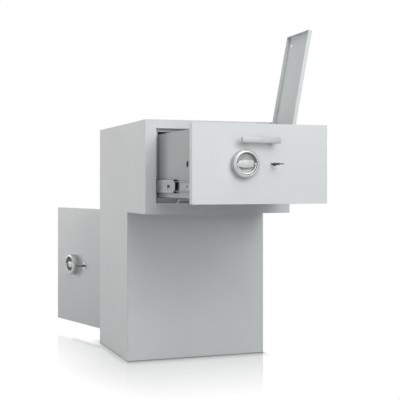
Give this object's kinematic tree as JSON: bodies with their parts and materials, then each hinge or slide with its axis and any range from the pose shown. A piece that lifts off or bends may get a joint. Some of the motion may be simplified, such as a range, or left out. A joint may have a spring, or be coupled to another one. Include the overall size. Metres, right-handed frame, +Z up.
{
  "type": "drop safe with deposit drawer",
  "caption": "Steel counter safe: upper box with a lockable drawer and a lidded deposit compartment, lower box with a lockable rear door.",
  "frame": {"origin": "centre of the lower box's footprint on the floor", "axes": "+Z up, the drawer comes out towards -Y, the rear door is at +Y, +X to the right as seen from the drawer's side"},
  "size_m": [0.5206, 1.2986, 0.9771],
  "materials": {
    "powder_grey": "satin powder coat",
    "inner_grey": "satin powder coat",
    "zinc_steel": "zinc plated",
    "satin_nickel": "satin nickel plate",
    "key_steel": "worn nickel plate",
    "spring_steel": "oiled",
    "black_plastic": "moulded"
  },
  "bodies": {
    "cabinet": {"side_panel_left": "powder_grey", "side_panel_right": "powder_grey", "top_panel": "powder_grey", "front_frame": "powder_grey", "upper_back_panel": "powder_grey", "upper_floor": "powder_grey", "lower_front_panel": "powder_grey", "base_panel": "powder_grey", "rear_frame": "powder_grey", "drop_baffle": "inner_grey", "trap_striker": "zinc_steel", "inner_side_left": "inner_grey", "inner_side_right": "inner_grey", "slide_cabinet_member_left": "zinc_steel", "slide_cabinet_member_right": "zinc_steel", "hinge_pin_half_lower": "zinc_steel", "hinge_pin_half_upper": "zinc_steel"},
    "slide_middle_left": {"slide_middle_member_left": "zinc_steel", "slide_bumper_left": "black_plastic"},
    "slide_middle_right": {"slide_middle_member_right": "zinc_steel", "slide_bumper_right": "black_plastic"},
    "drawer": {"slide_drawer_member_left": "zinc_steel", "slide_drawer_member_right": "zinc_steel", "drawer_front": "powder_grey", "drawer_front_back": "powder_grey", "drawer_tray": "inner_grey", "lock_cover": "inner_grey", "deposit_wall_front": "inner_grey", "deposit_wall_back": "inner_grey", "drawer_back": "inner_grey", "deposit_rim": "inner_grey", "lid_hinge_pin": "zinc_steel", "trap_hinge_barrel_left": "inner_grey", "trap_hinge_barrel_right": "inner_grey", "trap_hinge_pin": "zinc_steel", "drawer_handle": "satin_nickel", "drawer_knob_ring": "satin_nickel", "drawer_keyhole_rose": "satin_nickel", "drawer_lock_case": "zinc_steel"},
    "lid": {"deposit_lid": "powder_grey"},
    "trap": {"trap_flap": "inner_grey", "trap_spring": "spring_steel"},
    "drawer_knob": {"drawer_knob_grip": "satin_nickel", "drawer_pinion": "zinc_steel"},
    "drawer_key": {"drawer_key": "key_steel"},
    "drawer_bolt_left": {"drawer_bolt_left": "zinc_steel"},
    "drawer_bolt_right": {"drawer_bolt_right": "zinc_steel"},
    "door": {"door_panel": "powder_grey", "door_cover": "inner_grey", "door_lock_case": "zinc_steel", "door_knob_ring": "satin_nickel", "door_keyhole_rose": "satin_nickel", "hinge_socket_half_lower": "zinc_steel", "hinge_socket_half_upper": "zinc_steel"},
    "door_bolts": {"door_bolt_bar": "zinc_steel"},
    "door_knob": {"door_knob_grip": "satin_nickel", "door_pinion": "zinc_steel"},
    "door_key": {"door_key": "key_steel"}
  },
  "joints": [
    {"name": "drawer_slide", "type": "slide", "parent": "cabinet", "child": "drawer", "axis": [0, -1, 0], "range_m": [-0.005, 0.146]},
    {"name": "slide_middle_left_run", "type": "slide", "parent": "cabinet", "child": "slide_middle_left", "axis": [0, -1, 0], "range_m": [-0.003, 0.074]},
    {"name": "slide_middle_right_run", "type": "slide", "parent": "cabinet", "child": "slide_middle_right", "axis": [0, -1, 0], "range_m": [-0.003, 0.074]},
    {"name": "lid_hinge", "type": "hinge", "parent": "drawer", "child": "lid", "pos_m": [0.1595, -0.45, 0.674], "axis": [0, 1, 0], "range_deg": [-100.8, 0]},
    {"name": "trap_hinge", "type": "hinge", "parent": "drawer", "child": "trap", "pos_m": [0, -0.472, 0.496], "axis": [1, 0, 0], "range_deg": [-85, 0], "stiffness_Nm_per_rad": 0.25, "springref_deg": 68.75},
    {"name": "drawer_knob_turn", "type": "hinge", "parent": "drawer", "child": "drawer_knob", "pos_m": [-0.049, -0.676, 0.59], "axis": [0, -1, 0], "range_deg": [0, 90]},
    {"name": "drawer_bolt_left_throw", "type": "slide", "parent": "drawer", "child": "drawer_bolt_left", "axis": [-1, 0, 0], "range_m": [0, 0.022]},
    {"name": "drawer_bolt_right_throw", "type": "slide", "parent": "drawer", "child": "drawer_bolt_right", "axis": [1, 0, 0], "range_m": [0, 0.022]},
    {"name": "drawer_key_turn", "type": "hinge", "parent": "drawer", "child": "drawer_key", "pos_m": [0.037, -0.676, 0.59], "axis": [0, -1, 0], "range_deg": [0, 180]},
    {"name": "door_hinge", "type": "hinge", "parent": "cabinet", "child": "door", "pos_m": [-0.195, 0.1838, 0.245], "axis": [0, 0, 1], "range_deg": [-106, 0]},
    {"name": "door_knob_turn", "type": "hinge", "parent": "door", "child": "door_knob", "pos_m": [-0.25958, 0.43369, 0.245], "axis": [-0.9613, -0.2756, 0], "range_deg": [0, 90]},
    {"name": "door_bolts_throw", "type": "slide", "parent": "door", "child": "door_bolts", "axis": [-0.2756, 0.9613, 0], "range_m": [0, 0.022]},
    {"name": "door_key_turn", "type": "hinge", "parent": "door", "child": "door_key", "pos_m": [-0.23808, 0.35871, 0.245], "axis": [-0.9613, -0.2756, 0], "range_deg": [0, 180]}
  ],
  "couplings": [
    {"joint": "slide_middle_left_run", "follows": "drawer_slide", "ratio": 0.5},
    {"joint": "slide_middle_right_run", "follows": "drawer_slide", "ratio": 0.5},
    {"joint": "drawer_bolt_left_throw", "follows": "drawer_knob_turn", "m_per_rad": 0.014},
    {"joint": "drawer_bolt_right_throw", "follows": "drawer_knob_turn", "m_per_rad": 0.014},
    {"joint": "door_bolts_throw", "follows": "door_knob_turn", "m_per_rad": 0.014}
  ]
}
